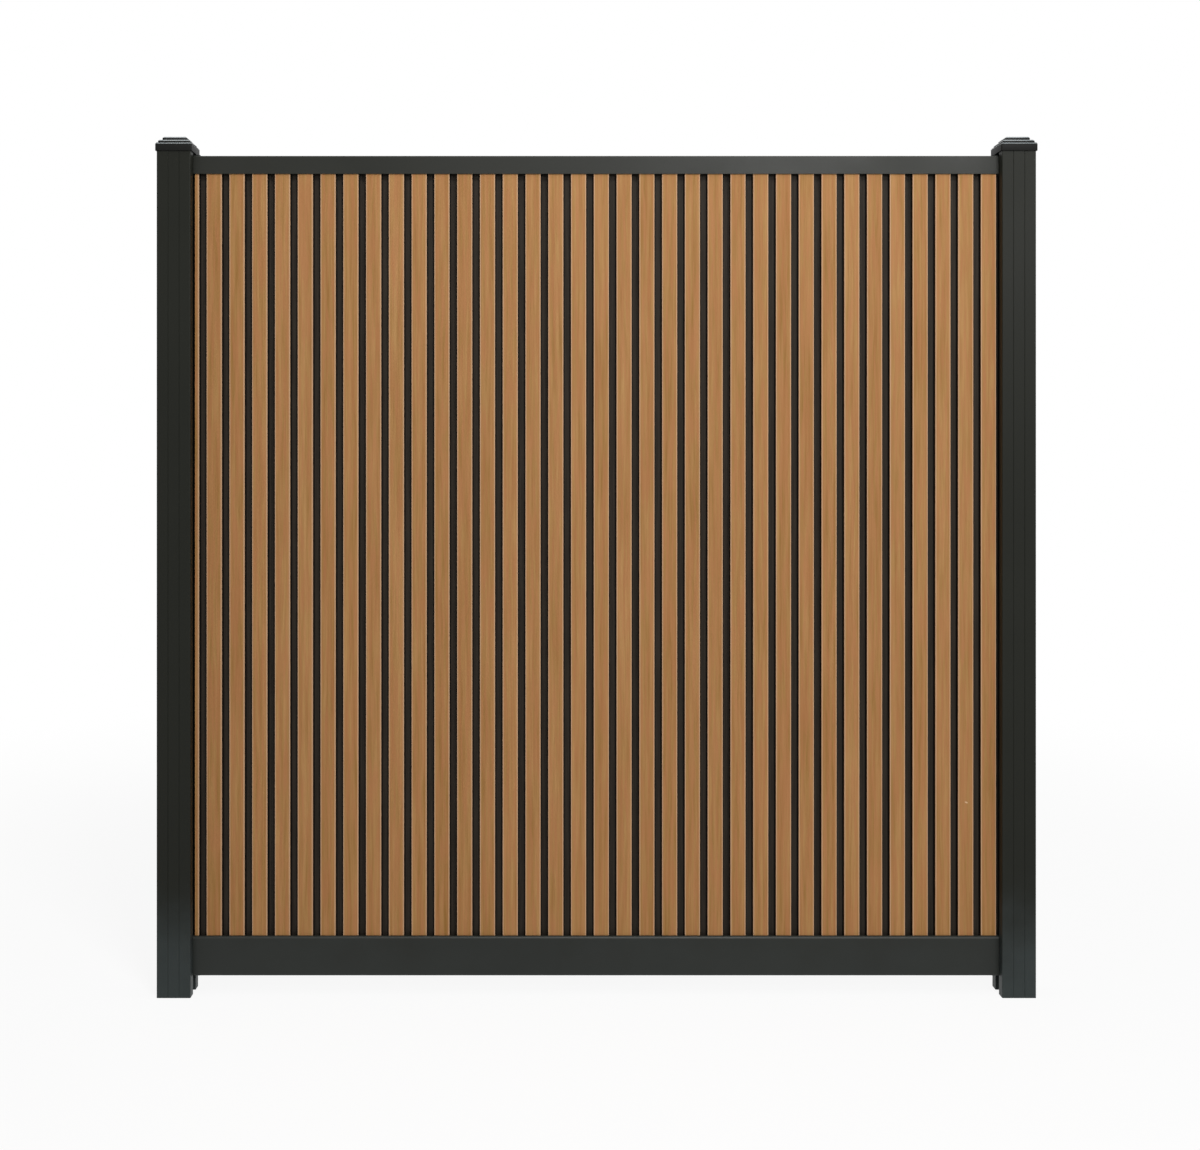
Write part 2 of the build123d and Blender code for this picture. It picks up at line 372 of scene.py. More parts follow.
@dataclass(frozen=True)
class PowderCoat:
    """Anthracite powder coat on aluminium."""

    name: str
    colour: Colour
    fleck_colour: Colour
    specular: float
    roughness: float
    roughness_drift: float = 0.05
    drift_scale: float = 4.0
    drift_share: float = 0.5
    fleck_share: float = 0.5
    grain: float = 0.0007
    relief: float = 0.00006
    relief_strength: float = 0.5
    # Painted reflection of the floor towards the foot, and the pale colour used for it and for the eased edges'
    # painted highlight
    film_share: float = 0.0
    film_reach: float = 0.3
    film_colour: Colour = (0.26, 0.335, 0.36, 1.0)
    eased_gloss: float = 0.0
    # Painted highlight: how much paler the eased edges are painted, besides their real gloss
    eased_wear: float = 0.0
    eased_roughness: float = 0.25
    eased_rise: tuple[float, float] = (0.35, 0.55)
    eased_fall: tuple[float, float] = (0.85, 0.95)

    def material(self) -> bpy.types.Material:
        """Make the coat's material.

        Returns:
            A dark satin coat with a fine stipple.
        """
        material, surface, shader = new_material(self.name)
        place = surface.place()
        stipple = surface.effect(PowderStipple().group(), Vector=place, Grain=self.grain, Scale=self.drift_scale)
        drift, height = stipple.outputs["Drift"], stipple.outputs["Height"]
        coat = surface.mix(surface.spread(drift, 0.0, self.drift_share), self.colour, self.fleck_colour)
        coat = surface.mix(surface.spread(height, 0.0, self.fleck_share), coat, self.fleck_colour)
        # Painted reflection of the pale floor, paler towards the foot
        if self.film_share:
            foot_reflection_node = surface.effect(RainSplash().group(), Vector=place, Reach=self.film_reach)
            painted_reflection_cover = surface.math(Operation.MULTIPLY, foot_reflection_node.outputs["Film"], self.film_share)
            coat = surface.mix(painted_reflection_cover, coat, self.film_colour)
        if self.eased_gloss:
            eased = self._eased(surface)
            # Painted highlight: the eased edges are painted paler
            coat = surface.mix(surface.math(Operation.MULTIPLY, eased, self.eased_wear), coat, self.film_colour)
            surface.feed(shader, {"Coat Weight": surface.math(Operation.MULTIPLY, eased, self.eased_gloss),
                                  "Coat Roughness": self.eased_roughness})
        rough = surface.spread(drift, self.roughness - self.roughness_drift, self.roughness + self.roughness_drift)
        surface.feed(shader, {"Base Color": coat, "Roughness": rough, "Specular IOR Level": self.specular,
                              "Normal": surface.bump(height, self.relief_strength, self.relief)})
        return material

    def _eased(self, surface: Surface) -> Socket:
        """Find the eased, upward edges, where the coat flows out smooth and glossy, and where a highlight is
        painted paler.

        Args:
            surface: Where the nodes go.

        Returns:
            The mask's socket, from 0 on walls and flat tops to 1 on slopes between them.
        """
        upward = surface.split(surface.add("ShaderNodeNewGeometry").outputs["Normal"])[2]
        above = surface.ramp(upward, *self.eased_rise)
        return surface.math(Operation.MULTIPLY, above, surface.ramp(upward, *self.eased_fall, 1.0, 0.0))


@dataclass(frozen=True)
class SlattedComposite:
    """Co-extruded composite: teak-brown grained slats on a charcoal core."""

    # Where the boards and slats are, and how far the brown skin reaches
    board_origin: float
    board_width: float
    slat_origin: float
    slat_pitch: float
    slat_width: float
    front_y: float
    back_y: float
    front_share: float = 0.75
    skin_wrap: float = 0.0022
    skin_fade: float = 0.003
    back_skin: float = 0.0004

    # Size and relief of the grain and of its red flame
    grain_width: float = 0.0042
    grain_length: float = 0.14
    flame_width: float = 0.007
    flame_length: float = 0.1
    grain_lots: float = 90.0
    grain_relief: float = 0.00025
    relief_strength: float = 0.35
    pore_range: tuple[float, float] = (0.24, 0.42)

    # Colours, and how much of each shows
    teak: Colour = (0.272, 0.135, 0.036, 1.0)
    pale_teak: Colour = (0.472, 0.262, 0.104, 1.0)
    red_teak: Colour = (0.422, 0.177, 0.077, 1.0)
    # Painted highlight: a paler colour along the slats' long edges
    rubbed_edge: Colour = (0.54, 0.34, 0.205, 1.0)
    charcoal: Colour = (0.0235, 0.0190, 0.0145, 1.0)
    pale_charcoal: Colour = (0.0330, 0.0270, 0.0210, 1.0)
    # Painted shade: a near-black colour for the grooves' walls and corners
    grime: Colour = (0.0020, 0.0014, 0.0009, 1.0)
    band_share: float = 0.33
    streak_share: float = 0.33
    line_share: float = 0.14
    lot_share: float = 0.2
    red_share: float = 0.6
    pore_share: float = 0.3
    # How strongly, and how far in from the edges, the painted highlight reaches
    edge_share: float = 0.85
    edge_reach: tuple[float, float] = (0.0014, 0.0032)
    # How strongly, and how far from the walls, the painted shade reaches
    grime_share: float = 0.9
    grime_reach: tuple[float, float] = (0.0014, 0.0040)

    # Gloss
    specular: float = 0.07
    slat_roughness: float = 0.6
    core_roughness: float = 0.5
    line_gloss: float = -0.06

    # The one nick, by its X and Z
    nick_place: tuple[float, float] = (0.8258, 0.4260)
    nick_size: tuple[float, float] = (0.0042, 0.0022)
    nick_slant: float = 0.6
    nick_core: float = 0.2
    nick_share: float = 0.9
    nick_colour: Colour = (0.66, 0.47, 0.29, 1.0)

    def material(self) -> bpy.types.Material:
        """Make the boards' material.

        Returns:
            A material that tells slats, grooves and back apart by their place on the board.
        """
        material, surface, shader = new_material("teak_slat_composite")
        place = surface.place()
        x, y, z = surface.split(place)
        phase, slat = self._count(surface, x, self.slat_origin, self.slat_pitch)
        across = surface.math(Operation.MULTIPLY, surface.math(Operation.SUBTRACT, phase, slat), self.slat_pitch)
        board = self._count(surface, x, self.board_origin, self.board_width)[1]
        front, back = self._sides(surface, y)
        number = surface.combine(surface.math(Operation.MULTIPLY, slat, front),
                                 surface.math(Operation.MULTIPLY, board, back), 0.0)
        lot = surface.add("ShaderNodeTexWhiteNoise", {"Vector": number}, noise_dimensions="2D")
        lot_tone, lot_hue, lot_seed = surface.split(lot.outputs["Color"])
        grain = self._streaks(surface, place, self.grain_width, self.grain_length, lot_seed)
        flame = self._streaks(surface, place, self.flame_width, self.flame_length, lot_hue)

        face = self._brown(surface, grain, flame, lot_tone)
        # Painted highlight along the slats' long edges
        edge = surface.math(Operation.MULTIPLY, self._edge_mask(surface, across), front)
        face = surface.mix(edge, face, self.rubbed_edge)
        face = surface.mix(self._nick_mask(surface, x, y, z), face, self.nick_colour)
        core = surface.mix(surface.spread(grain.outputs["Streaks"]), self.charcoal, self.pale_charcoal)
        # Painted shade in the grooves' walls and corners
        core = surface.mix(self._corner_mask(surface, across), core, self.grime)
        brown = self._brown_mask(surface, y)

        line = surface.spread(grain.outputs["Lines"])
        rough = surface.ramp(brown, 0.0, 1.0, self.core_roughness, self.slat_roughness)
        relief = surface.math(Operation.ADD, line, self._pores(surface, grain, 0.0, 1.0))
        surface.feed(shader, {"Base Color": surface.mix(brown, core, face),
                              "Roughness": surface.math(Operation.MULTIPLY_ADD, line, self.line_gloss, rough),
                              "Specular IOR Level": self.specular,
                              "Normal": surface.bump(relief, self.relief_strength, self.grain_relief)})
        return material

    @staticmethod
    def _count(surface: Surface, x: Socket, origin: float, pitch: float) -> tuple[Socket, Socket]:
        """Give the place along the bay in repeats from an origin, and the number of the repeat."""
        phase = surface.math(Operation.DIVIDE, surface.math(Operation.SUBTRACT, x, origin), pitch)
        return phase, surface.math(Operation.FLOOR, phase)

    def _sides(self, surface: Surface, y: Socket) -> tuple[Socket, Socket]:
        """Give the masks of the slatted front part and the plain back part of a board, each 0 or 1."""
        front = surface.math(Operation.LESS_THAN, y, self.front_y + self.front_share * (self.back_y - self.front_y))
        return front, surface.math(Operation.SUBTRACT, 1.0, front)

    def _streaks(self, surface: Surface, place: Socket, width: float, length: float, lot: Socket) -> Node:
        """Place streaks of a width and a length that differ from lot to lot."""
        seed = surface.math(Operation.MULTIPLY, lot, self.grain_lots)
        return surface.effect(DrawnStreaks().group(), Vector=place, Seed=seed, Width=width, Length=length)

    def _pores(self, surface: Surface, grain: Node, inside: float, outside: float) -> Socket:
        """Give one value in the short dark pores of the grain, and another outside them."""
        return surface.ramp(grain.outputs["Pores"], *self.pore_range, inside, outside)

    def _brown(self, surface: Surface, grain: Node, flame: Node, lot_tone: Socket) -> Socket:
        """Mix the browns from the grain, its slower flame of red and the tone of the lot.

        Args:
            surface: Where the nodes go.
            grain: The grain's node.
            flame: The node of the broader streaks, from yellow to red.
            lot_tone: A value from dark to pale, for each slat at the front and each board at the back.

        Returns:
            The brown's socket.
        """
        bands, streaks, lines = (surface.spread(grain.outputs[name]) for name in ("Bands", "Streaks", "Lines"))
        pale = surface.weigh((bands, self.band_share), (streaks, self.streak_share), (lines, self.line_share),
                             (lot_tone, self.lot_share))
        brown = surface.mix(pale, self.teak, self.pale_teak)
        brown = surface.mix(surface.spread(flame.outputs["Streaks"], 0.0, self.red_share), brown, self.red_teak)
        return surface.mix(self._pores(surface, grain, self.pore_share, 0.0), brown, self.teak)

    def _brown_mask(self, surface: Surface, y: Socket) -> Socket:
        """Tell the brown skin of slats and back from the charcoal core in the grooves and joints.

        Args:
            surface: Where the nodes go.
            y: Place through the board.

        Returns:
            The mask's socket.
        """
        skin = self.front_y + self.skin_wrap
        slat = surface.ramp(y, skin, skin + self.skin_fade, 1.0, 0.0)
        back = surface.ramp(y, self.back_y - 2 * self.back_skin, self.back_y - self.back_skin)
        return surface.math(Operation.MAXIMUM, slat, back)

    def _edge_mask(self, surface: Surface, across: Socket) -> Socket:
        """Find the slats' long edges, which are painted paler as a highlight.

        Args:
            surface: Where the nodes go.
            across: Distance from the slat's left edge.

        Returns:
            The mask's socket.
        """
        from_right = surface.math(Operation.SUBTRACT, self.slat_width, across)
        inside = surface.math(Operation.ABSOLUTE, surface.math(Operation.MINIMUM, across, from_right))
        return surface.ramp(inside, *self.edge_reach, self.edge_share, 0.0)

    def _corner_mask(self, surface: Surface, across: Socket) -> Socket:
        """Find the grooves' walls and corners, where shade is painted darker.

        Args:
            surface: Where the nodes go.
            across: Distance from the slat's left edge.

        Returns:
            The mask's socket.
        """
        from_left = surface.math(Operation.SUBTRACT, across, self.slat_width)
        from_right = surface.math(Operation.SUBTRACT, self.slat_pitch, across)
        inside = surface.math(Operation.MINIMUM, from_left, from_right)
        return surface.ramp(inside, *self.grime_reach, self.grime_share, 0.0)

    def _nick_mask(self, surface: Surface, x: Socket, y: Socket, z: Socket) -> Socket:
        """Find the one small pale nick on a slat's face near the right post.

        Args:
            surface: Where the nodes go.
            x: Place along the bay.
            y: Place through the board.
            z: Height.

        Returns:
            The mask's socket.
        """
        aside, above = (surface.math(Operation.DIVIDE, surface.math(Operation.SUBTRACT, value, middle), size)
                        for value, middle, size in zip((x, z), self.nick_place, self.nick_size))
        slanted = surface.math(Operation.MULTIPLY_ADD, aside, self.nick_slant, above)
        reach = surface.math(Operation.MULTIPLY_ADD, aside, aside,
                             surface.math(Operation.MULTIPLY, slanted, slanted))
        nick = surface.ramp(reach, self.nick_core, 1.0, self.nick_share, 0.0)
        face = surface.ramp(y, self.front_y + self.skin_wrap / 2, self.front_y + self.skin_wrap, 1.0, 0.0)
        return surface.math(Operation.MULTIPLY, nick, face)


@dataclass(frozen=True)
class BareMetal:
    """Uncoated metal with draw lines, as on bright steel."""

    name: str
    colour: Colour
    dull_colour: Colour
    roughness: float
    dull_roughness: float
    line_width: float
    line_length: float
    line_relief: float = 0.00005
    relief_strength: float = 0.2

    def material(self) -> bpy.types.Material:
        """Make the metal's material.

        Returns:
            A metal with fine lines in its tone, gloss and relief.
        """
        material, surface, shader = new_material(self.name)
        drawn = surface.effect(DrawnStreaks().group(), Vector=surface.place(), Width=self.line_width,
                               Length=self.line_length)
        tone, lines = surface.spread(drawn.outputs["Streaks"]), drawn.outputs["Lines"]
        surface.feed(shader, {"Base Color": surface.mix(tone, self.colour, self.dull_colour), "Metallic": 1.0,
                              "Roughness": surface.spread(lines, self.roughness, self.dull_roughness),
                              "Normal": surface.bump(lines, self.relief_strength, self.line_relief)})
        return material


def dress(nodes: Iterable[str], material: bpy.types.Material) -> None:
    """Give CAD nodes a material.

    Args:
        nodes: Names of the nodes.
        material: Their finish.
    """
    for name in nodes:
        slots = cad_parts[name].data.materials
        slots.clear()
        slots.append(material)
        LOG.info("%s wears %s", name, material.name)


def select_only(*pieces: bpy.types.Object) -> None:
    """Select some objects, or none, and make the last one active.

    Args:
        *pieces: The objects.
    """
    bpy.ops.object.select_all(action="DESELECT")
    for piece in pieces:
        piece.select_set(True)
        bpy.context.view_layer.objects.active = piece


def start_edit(name: str) -> bpy.types.Object:
    """Name the new primitive, apply its place and open it in edit mode.

    Args:
        name: Name of the object and its mesh.

    Returns:
        The object, in edit mode.
    """
    piece = bpy.context.object
    piece.name = name
    piece.data.name = name
    bpy.ops.object.transform_apply(location=True, rotation=True, scale=True)
    bpy.ops.object.mode_set(mode="EDIT")
    return piece


def pick(element: Element, test: Callable[..., bool]) -> None:
    """Select only the edges or the faces that pass a test.

    Args:
        element: What is picked.
        test: Tells whether an edge or a face is wanted.
    """
    bpy.ops.mesh.select_mode(type=element.name)
    bpy.ops.mesh.select_all(action="DESELECT")
    for part in getattr(bmesh.from_edit_mesh(bpy.context.object.data), element.value):
        part.select_set(test(part))
    bmesh.update_edit_mesh(bpy.context.object.data)


def draw_out(height: float) -> None:
    """Extrude what is selected along Z."""
    bpy.ops.mesh.extrude_region_move(TRANSFORM_OT_translate={"value": (0.0, 0.0, height)})


def close_edit(smooth_angle: float) -> bpy.types.Object:
    """Turn all faces outwards, leave edit mode and shade the piece.

    Args:
        smooth_angle: Edges flatter than this are shaded smooth, in degrees.

    Returns:
        The modelled object.
    """
    bpy.ops.mesh.select_all(action="SELECT")
    bpy.ops.mesh.normals_make_consistent(inside=False)
    bpy.ops.object.mode_set(mode="OBJECT")
    bpy.ops.object.shade_smooth_by_angle(angle=math.radians(smooth_angle))
    return bpy.context.object


@dataclass(frozen=True)
class Fitting:
    """Where a copy of a modelled piece goes, and which solid it stands for."""

    name: str
    node: str
    slot: str
    place: Vector
    turn: float = 0.0

    def fit(self, model: bpy.types.Object, material: bpy.types.Material) -> None:
        """Copy the model, with a mesh of its own, and put the copy in its place.

        Args:
            model: The modelled piece, at the origin.
            material: The piece's finish.
        """
        select_only(model)
        bpy.ops.object.duplicate(linked=False)
        piece = bpy.context.object
        piece.name = self.name
        piece.data.name = self.name
        piece.rotation_euler = (0.0, self.turn, 0.0)
        piece.location = self.place
        bpy.ops.object.transform_apply(location=True, rotation=True, scale=True)
        piece.data.materials.clear()
        piece.data.materials.append(material)
        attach(piece, BODY)
        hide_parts(self.node)
        LOG.info("%s is fitted, with %d faces", piece.name, len(piece.data.polygons))


@dataclass
class PostCap:
    """Cast cap over a post's end: a skirt, a deck and two stepped tiers."""

    step_insets: tuple[float, float] = (0.0055, 0.008)
    step_heights: tuple[float, float] = (0.007, 0.008)
    corner_radius: float = 0.0035
    chamfer: float = 0.0028
    arris: float = 0.0005
    corner_steps: int = 5
    arris_steps: int = 2
    skirt_gap: float = 0.0004
    rim_angle: float = 60.0
    arris_angle: float = 35.0
    smooth_angle: float = 40.0
    width: float = field(init=False)
    skirt_height: float = field(init=False)
    post_width: float = field(init=False)
    post_depth: float = field(init=False)

    def __post_init__(self) -> None:
        """Take the outer sizes from the solids."""
        low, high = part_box(self.node(Side.LEFT))
        post_low, post_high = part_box("left_post")
        self.width = high.x - low.x
        self.skirt_height = high.z - low.z - sum(self.step_heights)
        self.post_width = post_high.x - post_low.x
        self.post_depth = post_high.z - low.z

    @staticmethod
    def node(side: Side) -> str:
        """Name the solid that a cap stands for."""
        return f"{side.word}_post_cap"

    def build(self, material: bpy.types.Material) -> None:
        """Model one cap and fit a copy of it on each post.

        Args:
            material: The caps' finish.
        """
        model = self._model()
        for side in Side:
            low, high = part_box(self.node(side))
            place = Vector(((low.x + high.x) / 2, (low.y + high.y) / 2, low.z))
            Fitting(f"{side.word}_stepped_cap", self.node(side), "cap_coat", place).fit(model, material)
        bpy.data.objects.remove(model)

    def _model(self) -> bpy.types.Object:
        """Model the cap from a block: step it up, round its edges and hollow it over the post.

        Returns:
            The cap, with the middle of its lower end at the origin.
        """
        select_only()
        bpy.ops.mesh.primitive_cube_add(size=1.0, location=(0.0, 0.0, self.skirt_height / 2),
                                        scale=(self.width, self.width, self.skirt_height))
        start_edit("stepped_cap")
        top = self.skirt_height
        for inset, rise in zip(self.step_insets, self.step_heights):
            pick(Element.FACE, lambda face: face.normal.z > FLAT and face.calc_center_median().z > top - SAME_PLACE)
            bpy.ops.mesh.inset(thickness=inset, depth=0.0)
            draw_out(rise)
            top += rise
        self._round_edges()
        self._hollow()
        return close_edit(self.smooth_angle)

    def _round_edges(self) -> None:
        """Round the skirt's upright corners, chamfer the upper rims and ease what is left sharp."""
        deck = self.skirt_height - SAME_PLACE
        pick(Element.EDGE, lambda edge: {vertex.co.z < deck for vertex in edge.verts} == {True, False})
        bpy.ops.mesh.bevel(offset=self.corner_radius, segments=self.corner_steps)
        pick(Element.EDGE, self._is_rim)
        bpy.ops.mesh.bevel(offset=self.chamfer, segments=1)
        sharp = math.radians(self.arris_angle)
        pick(Element.EDGE, lambda edge: edge.is_convex and edge.calc_face_angle() > sharp)
        bpy.ops.mesh.bevel(offset=self.arris, segments=self.arris_steps)

    def _is_rim(self, edge: bmesh.types.BMEdge) -> bool:
        """Tell whether an edge is the upper rim of the skirt or a tier.

        Args:
            edge: An edge of the stepped block.

        Returns:
            Whether the edge lies flat, at the deck or above it, between a wall and a top.
        """
        first, second = (vertex.co.z for vertex in edge.verts)
        flat = abs(first - second) < SAME_PLACE and first > self.skirt_height - SAME_PLACE
        return flat and edge.is_convex and edge.calc_face_angle() > math.radians(self.rim_angle)

    def _hollow(self) -> None:
        """Sink the post's end into the underside."""
        wall = (self.width - self.post_width) / 2 - self.skirt_gap
        pick(Element.FACE, lambda face: face.normal.z < -FLAT and face.calc_center_median().z < SAME_PLACE)
        bpy.ops.mesh.inset(thickness=wall - self.arris, depth=0.0)
        draw_out(self.post_depth)


@dataclass
class BracketScrew:
    """Pan-head thread-forming screw that holds a bracket in its slot."""

    head_radius: float = 0.004
    head_height: float = 0.0024
    head_round: float = 0.0012
    head_steps: int = 5
    shank_radius: float = 0.0021
    core_radius: float = 0.00165
    length: float = 0.013
    thread_pitch: float = 0.0014
    thread_foot: float = 0.00106
    thread_crest: float = 0.15
    thread_sink: float = 0.00003
    thread_corners: int = 4
    tip_length: float = 0.002
    tip_scale: float = 0.3
    recess_width: float = 0.0011
    recess_reach: float = 0.0024
    recess_depth: float = 0.0014
    sides: int = 32
    smooth_angle: float = 35.0

    def build(self, material: bpy.types.Material) -> None:
        """Model one screw and fit a copy of it in each bracket.

        Args:
            material: The screws' finish.
        """
        model = self._model()
        for side in Side:
            for level in Level:
                name = f"{side.word}_{level.word}_bracket_screw"
                Fitting(name, "bracket_screws", "screw_steel", self._seat(side, level),
                        side.value * math.pi / 2).fit(model, material)
        bpy.data.objects.remove(model)

    def _seat(self, side: Side, level: Level) -> Vector:
        """Give the point where a head meets its bracket.

        Args:
            side: The post.
            level: The rail.

        Returns:
            A point on the screw's axis, on the face of the bracket's leg.
        """
        low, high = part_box("bracket_screws")
        middle, half = (low + high) / 2, (high - low) / 2
        return Vector((middle.x + side.value * (half.x - self.length), middle.y,
                       middle.z + level.value * (half.z - self.head_radius)))

    def _model(self) -> bpy.types.Object:
        """Model the screw along Z: a head with its recess, a core with a tip, and the thread round it.

        Returns:
            The screw, with the middle of its head's seat at the origin and its tip upwards.
        """
        thread = self._thread()
        select_only()
        bpy.ops.mesh.primitive_cylinder_add(vertices=self.sides, radius=self.head_radius, depth=self.head_height,
                                            location=(0.0, 0.0, -self.head_height / 2))
        screw = start_edit("bracket_screw")
        self._round_head()
        self._cut_recess()
        self._draw_core()
        bpy.ops.object.mode_set(mode="OBJECT")
        select_only(thread, screw)
        bpy.ops.object.join()
        bpy.ops.object.mode_set(mode="EDIT")
        return close_edit(self.smooth_angle)

    def _round_head(self) -> None:
        """Round the head's outer rim."""
        top = -self.head_height + SAME_PLACE
        pick(Element.EDGE, lambda edge: all(vertex.co.z < top for vertex in edge.verts))
        bpy.ops.mesh.bevel(offset=self.head_round, segments=self.head_steps)

    def _cut_recess(self) -> None:
        """Sink a cross recess into the head: four arms round a square well."""
        half = self.recess_width / 2
        for direction in ((1.0, 0.0, 0.0), (0.0, 1.0, 0.0)):
            for offset in (-self.recess_reach, -half, half, self.recess_reach):
                pick(Element.FACE, self._is_top)
                bpy.ops.mesh.bisect(plane_co=tuple(part * offset for part in direction), plane_no=direction)
        pick(Element.FACE, self._in_cross)
        draw_out(self.recess_depth)

    def _is_top(self, face: bmesh.types.BMFace) -> bool:
        """Tell whether a face lies in the head's flat top."""
        return face.normal.z < -FLAT and face.calc_center_median().z < -self.head_height + SAME_PLACE

    def _in_cross(self, face: bmesh.types.BMFace) -> bool:
        """Tell whether a face of the head's top lies in the cross."""
        narrow, wide = sorted(abs(value) for value in face.calc_center_median().xy)
        return self._is_top(face) and narrow < self.recess_width / 2 and wide < self.recess_reach

    def _draw_core(self) -> None:
        """Draw the core of the shank out of the head's seat, with a blunt tip."""
        pick(Element.FACE, lambda face: face.normal.z > FLAT and face.calc_center_median().z > -SAME_PLACE)
        bpy.ops.mesh.inset(thickness=self.head_radius - self.core_radius, depth=0.0)
        draw_out(self.length - self.tip_length)
        draw_out(self.tip_length)
        bpy.ops.transform.resize(value=(self.tip_scale, self.tip_scale, 1.0),
                                 center_override=(0.0, 0.0, self.length))

    def _thread(self) -> bpy.types.Object:
        """Wind a thread from one tooth of its profile.

        Returns:
            The thread round the shank, from under the head to the tip.
        """
        root = self.core_radius - self.thread_sink
        middle = ((root + self.shank_radius) / 2, 0.0, self.thread_pitch)
        select_only()
        bpy.ops.mesh.primitive_plane_add(size=1.0, location=middle, rotation=(math.pi / 2, 0.0, 0.0))
        thread = start_edit("bracket_screw_thread")
        bpy.ops.transform.resize(value=(self.shank_radius - root, 1.0, self.thread_foot), center_override=middle)
        pick(Element.EDGE, lambda edge: all(vertex.co.x > middle[0] for vertex in edge.verts))
        bpy.ops.transform.resize(value=(1.0, 1.0, self.thread_crest), center_override=middle)
        bpy.ops.mesh.select_mode(type="FACE")
        bpy.ops.mesh.select_all(action="SELECT")
        bpy.ops.mesh.delete(type="ONLY_FACE")
        bpy.ops.object.mode_set(mode="OBJECT")
        winding = thread.modifiers.new("winding", "SCREW")
        winding.axis = "Z"
        winding.screw_offset = self.thread_pitch
        winding.iterations = int((self.length - self.tip_length) / self.thread_pitch) - 1
        winding.steps = winding.render_steps = self.sides
        winding.use_merge_vertices = True
        bpy.ops.object.modifier_apply(modifier=winding.name)
        bpy.ops.object.mode_set(mode="EDIT")
        bpy.ops.mesh.select_all(action="SELECT")
        bpy.ops.mesh.fill_holes(sides=self.thread_corners)
        return close_edit(self.smooth_angle)


@dataclass
class BoardField:
    """The nine slatted boards between the posts."""

    count: int = 9
    board_slats: int = 4
    lip_width: float = 0.0049
    slat_pitch: float = 0.0508
    slat_width: float = 0.0338

    @property
    def nodes(self) -> list[str]:
        """Names of the boards' nodes."""
        return [f"board_{number + 1}" for number in range(self.count)]

    def build(self) -> None:
        """Dress the boards in slatted composite, fitted to the second board, which is uncut."""
        low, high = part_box(self.nodes[1])
        finish = SlattedComposite(board_origin=low.x, board_width=self.board_slats * self.slat_pitch,
                                  slat_origin=low.x + self.lip_width, slat_pitch=self.slat_pitch,
                                  slat_width=self.slat_width, front_y=low.y, back_y=high.y)
        dress(self.nodes, finish.material())


@dataclass
class Framework:
    """Posts with their infill strips, rails, caps and the fixings in the slots."""

    strip_faces: tuple[str, ...] = ("front", "back", "outer")
    # The posts and rails carry a painted reflection of the floor, paler towards their feet
    post_coat: PowderCoat = PowderCoat(
        "post_powder_coat", colour=(0.0082, 0.0090, 0.0060, 1.0), fleck_colour=(0.0116, 0.0125, 0.0090, 1.0),
        specular=0.16, roughness=0.45, film_share=0.1)
    rail_coat: PowderCoat = PowderCoat(
        "rail_powder_coat", colour=(0.0090, 0.0098, 0.0068, 1.0), fleck_colour=(0.0125, 0.0134, 0.0100, 1.0),
        specular=0.25, roughness=0.42, film_share=0.03)
    # The caps and brackets have their eased edges glossy, and painted paler as a highlight
    cap_coat: PowderCoat = PowderCoat(
        "cap_powder_coat", colour=(0.0120, 0.0122, 0.0118, 1.0), fleck_colour=(0.0160, 0.0163, 0.0158, 1.0),
        specular=0.06, roughness=0.42, grain=0.0009, eased_gloss=1.0, eased_wear=0.25)
    bright_steel: BareMetal = BareMetal(
        "bright_steel", colour=(0.58, 0.58, 0.59, 1.0), dull_colour=(0.46, 0.46, 0.47, 1.0),
        roughness=0.25, dull_roughness=0.4, line_width=0.0004, line_length=0.002)

    def build(self) -> None:
        """Dress the extrusions and the brackets, and model the caps and the screws."""
        posts = [f"{side.word}_post" for side in Side]
        strips = [f"{post}_{face}_strip" for post in posts for face in self.strip_faces]
        dress(posts + strips, self.post_coat.material())
        dress(["top_rail", "bottom_rail"], self.rail_coat.material())
        coat = self.cap_coat.material()
        dress([f"{side.word}_{level.word}_bracket" for side in Side for level in Level], coat)
        PostCap().build(coat)
        BracketScrew().build(self.bright_steel.material())


@dataclass(frozen=True)
class Softbox:
    """Soft rectangular lamp, aimed at a point."""

    name: str
    place: Triple
    aim: Triple
    size: tuple[float, float]
    power: float

    def hang(self) -> None:
        """Hang the lamp and turn it towards its aim."""
        light = bpy.data.lights.new(self.name, "AREA")
        light.shape = "RECTANGLE"
        light.size, light.size_y = self.size
        light.energy = self.power
        lamp = bpy.data.objects.new(self.name, light)
        bpy.context.scene.collection.objects.link(lamp)
        lamp.location = self.place
        lamp.rotation_euler = (Vector(self.aim) - Vector(self.place)).to_track_quat("-Z", "Y").to_euler()
        LOG.info("%s hangs at %s", self.name, self.place)


